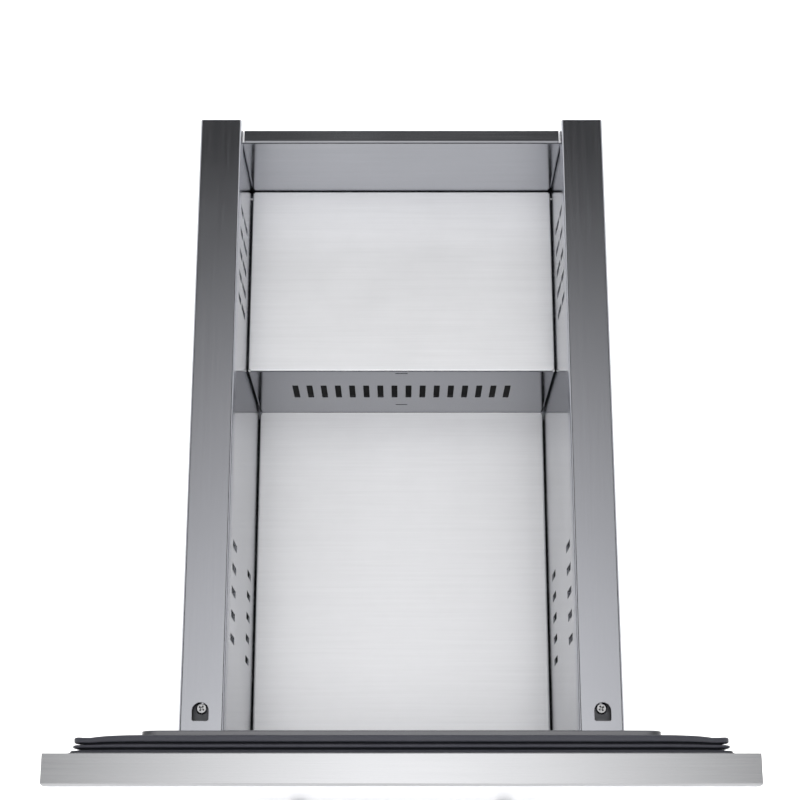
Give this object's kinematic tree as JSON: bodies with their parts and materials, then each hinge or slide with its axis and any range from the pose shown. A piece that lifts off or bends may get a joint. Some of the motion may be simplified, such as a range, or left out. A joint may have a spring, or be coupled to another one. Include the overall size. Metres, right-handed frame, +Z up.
{
  "type": "refrigerator drawer bin",
  "caption": "Pull-out stainless drawer bin of an undercounter drawer refrigerator: stepped vented bin, covered rails, insulated front with gasket, full-extension ball slides.",
  "frame": {"origin": "bottom centre of the closed drawer's box: middle of its width and of its depth, level with the front's bottom edge", "axes": "+X to the right seen from the front, +Y from the front towards the back of the cabinet, +Z up"},
  "size_m": [0.376, 0.478, 0.3627],
  "materials": {
    "stainless": "satin",
    "bin_steel": "satin",
    "floor_steel": "satin",
    "rail_steel": "satin",
    "foam": "matte",
    "liner_plastic": "satin",
    "gasket_rubber": "matte",
    "magnet": "matte",
    "zinc_steel": "satin",
    "slide_steel": "satin",
    "fastener_steel": "satin",
    "cage_brass": "satin",
    "ball_steel": "polished",
    "black_plastic": "satin"
  },
  "bodies": {
    "cabinet_side": {"left_cabinet_member": "slide_steel", "right_cabinet_member": "slide_steel", "left_cabinet_bracket": "zinc_steel", "right_cabinet_bracket": "zinc_steel", "member_rivets": "fastener_steel", "cage_stops": "black_plastic"},
    "drawer": {"front_skin": "stainless", "handle_bar": "stainless", "handle_posts": "stainless", "left_side_panel": "bin_steel", "right_side_panel": "bin_steel", "back_panel": "bin_steel", "bin_front_panel": "bin_steel", "stepped_floor": "floor_steel", "left_rail_cover": "rail_steel", "right_rail_cover": "rail_steel", "front_foam": "foam", "front_liner": "liner_plastic", "door_gasket": "gasket_rubber", "gasket_magnets": "magnet", "handle_backing_plate": "zinc_steel", "bracket_backing_plates": "zinc_steel", "deck_support_angles": "zinc_steel", "left_front_bracket": "zinc_steel", "right_front_bracket": "zinc_steel", "left_drawer_member": "slide_steel", "right_drawer_member": "slide_steel", "handle_studs": "fastener_steel", "handle_set_screws": "fastener_steel", "rail_lock_screws": "fastener_steel", "front_bracket_screws": "fastener_steel", "bracket_rivets": "fastener_steel", "floor_rivets": "fastener_steel", "front_panel_rivets": "fastener_steel", "back_panel_rivets": "fastener_steel", "drawer_member_rivets": "fastener_steel", "lever_pivots": "fastener_steel"},
    "left_intermediate": {"left_intermediate_member": "slide_steel"},
    "left_outer_cage": {"left_outer_cage": "cage_brass", "left_outer_balls": "ball_steel"},
    "left_inner_cage": {"left_inner_cage": "cage_brass", "left_inner_balls": "ball_steel"},
    "left_lever": {"left_release_lever": "black_plastic"},
    "right_intermediate": {"right_intermediate_member": "slide_steel"},
    "right_outer_cage": {"right_outer_cage": "cage_brass", "right_outer_balls": "ball_steel"},
    "right_inner_cage": {"right_inner_cage": "cage_brass", "right_inner_balls": "ball_steel"},
    "right_lever": {"right_release_lever": "black_plastic"}
  },
  "joints": [
    {"name": "drawer_slide", "type": "slide", "parent": "cabinet_side", "child": "drawer", "axis": [0, -1, 0], "range_m": [0, 0.375]},
    {"name": "left_intermediate_slide", "type": "slide", "parent": "cabinet_side", "child": "left_intermediate", "axis": [0, -1, 0], "range_m": [0, 0.1875]},
    {"name": "left_outer_cage_slide", "type": "slide", "parent": "cabinet_side", "child": "left_outer_cage", "axis": [0, -1, 0], "range_m": [0, 0.09375]},
    {"name": "left_inner_cage_slide", "type": "slide", "parent": "cabinet_side", "child": "left_inner_cage", "axis": [0, -1, 0], "range_m": [0, 0.28125]},
    {"name": "left_lever_pivot", "type": "hinge", "parent": "drawer", "child": "left_lever", "pos_m": [-0.1103, 0.129, 0.14], "axis": [1, 0, 0], "range_deg": [-6, 6]},
    {"name": "right_intermediate_slide", "type": "slide", "parent": "cabinet_side", "child": "right_intermediate", "axis": [0, -1, 0], "range_m": [0, 0.1875]},
    {"name": "right_outer_cage_slide", "type": "slide", "parent": "cabinet_side", "child": "right_outer_cage", "axis": [0, -1, 0], "range_m": [0, 0.09375]},
    {"name": "right_inner_cage_slide", "type": "slide", "parent": "cabinet_side", "child": "right_inner_cage", "axis": [0, -1, 0], "range_m": [0, 0.28125]},
    {"name": "right_lever_pivot", "type": "hinge", "parent": "drawer", "child": "right_lever", "pos_m": [0.1103, 0.129, 0.14], "axis": [1, 0, 0], "range_deg": [-6, 6]}
  ],
  "couplings": [
    {"joint": "left_intermediate_slide", "follows": "drawer_slide", "ratio": 0.5},
    {"joint": "left_outer_cage_slide", "follows": "drawer_slide", "ratio": 0.25},
    {"joint": "left_inner_cage_slide", "follows": "drawer_slide", "ratio": 0.75},
    {"joint": "right_intermediate_slide", "follows": "drawer_slide", "ratio": 0.5},
    {"joint": "right_outer_cage_slide", "follows": "drawer_slide", "ratio": 0.25},
    {"joint": "right_inner_cage_slide", "follows": "drawer_slide", "ratio": 0.75}
  ]
}
